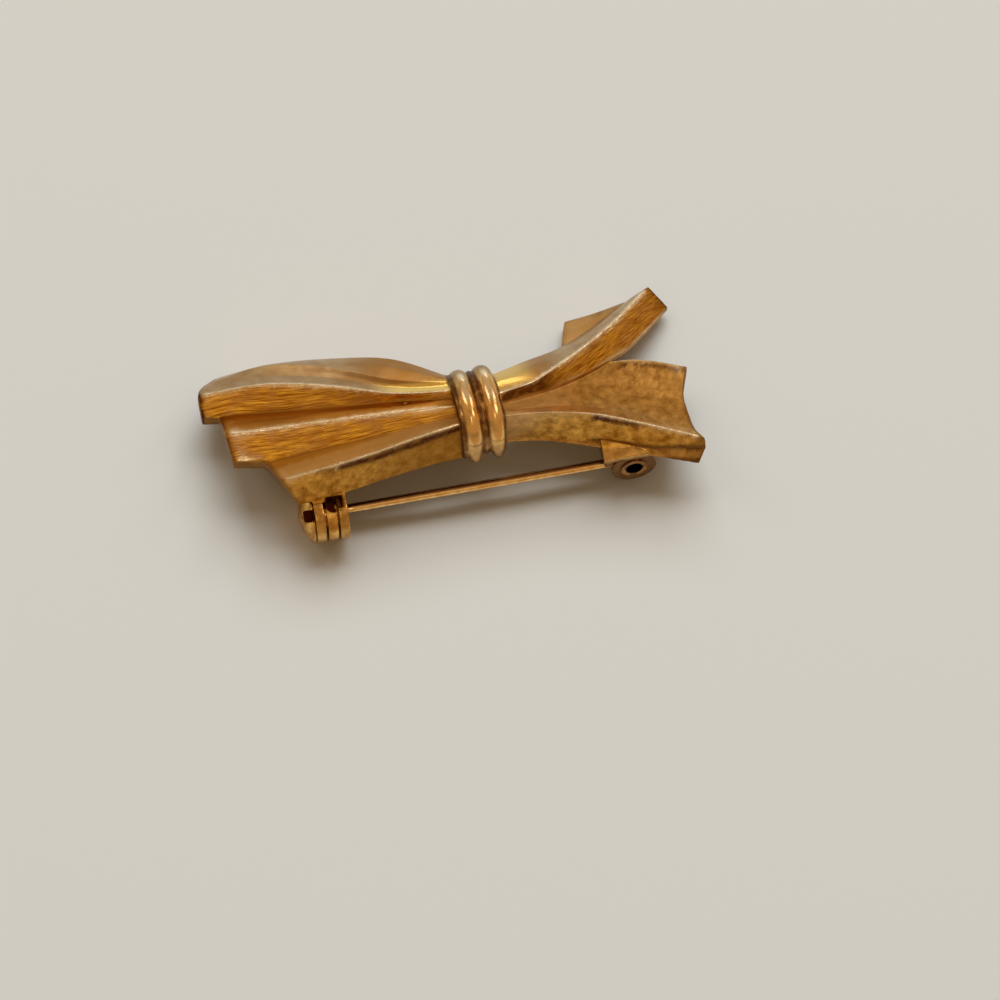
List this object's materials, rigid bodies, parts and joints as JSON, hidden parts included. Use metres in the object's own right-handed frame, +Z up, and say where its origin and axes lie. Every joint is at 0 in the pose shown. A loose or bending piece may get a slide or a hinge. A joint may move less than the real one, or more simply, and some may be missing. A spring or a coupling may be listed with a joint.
{
  "type": "bow brooch",
  "caption": "Cast metal bow brooch with a pleated fan, a banded knot and two tails, a hinged pin stem and a turning safety catch.",
  "frame": {"origin": "middle of the brooch's box, on the surface it lies on", "axes": "+X from the fan to the tails, along the pin; +Y away from the pin, across the bow; +Z up from the surface"},
  "size_m": [0.043, 0.0174, 0.0083],
  "materials": {
    "cast_gold": "brushed satin gold plate, worn",
    "pin_gold": "drawn wire, gold plated",
    "rivet_gold": "gold plated, tarnished",
    "catch_gold": "gold plated, tarnished"
  },
  "bodies": {
    "bow": {"bow_casting": "cast_gold", "joint_rivet": "rivet_gold"},
    "pin": {"pin_stem": "pin_gold"},
    "catch": {"catch_rotor": "catch_gold"}
  },
  "joints": [
    {"name": "pin_hinge", "type": "hinge", "parent": "bow", "child": "pin", "pos_m": [0.01529, -0.00616, 0.00258], "axis": [0, -0.9204, 0.391], "range_deg": [0, 80]},
    {"name": "catch_turn", "type": "hinge", "parent": "bow", "child": "catch", "pos_m": [-0.01186, -0.00615, 0.0026], "axis": [1, 0, 0], "range_deg": [0, 150]}
  ]
}
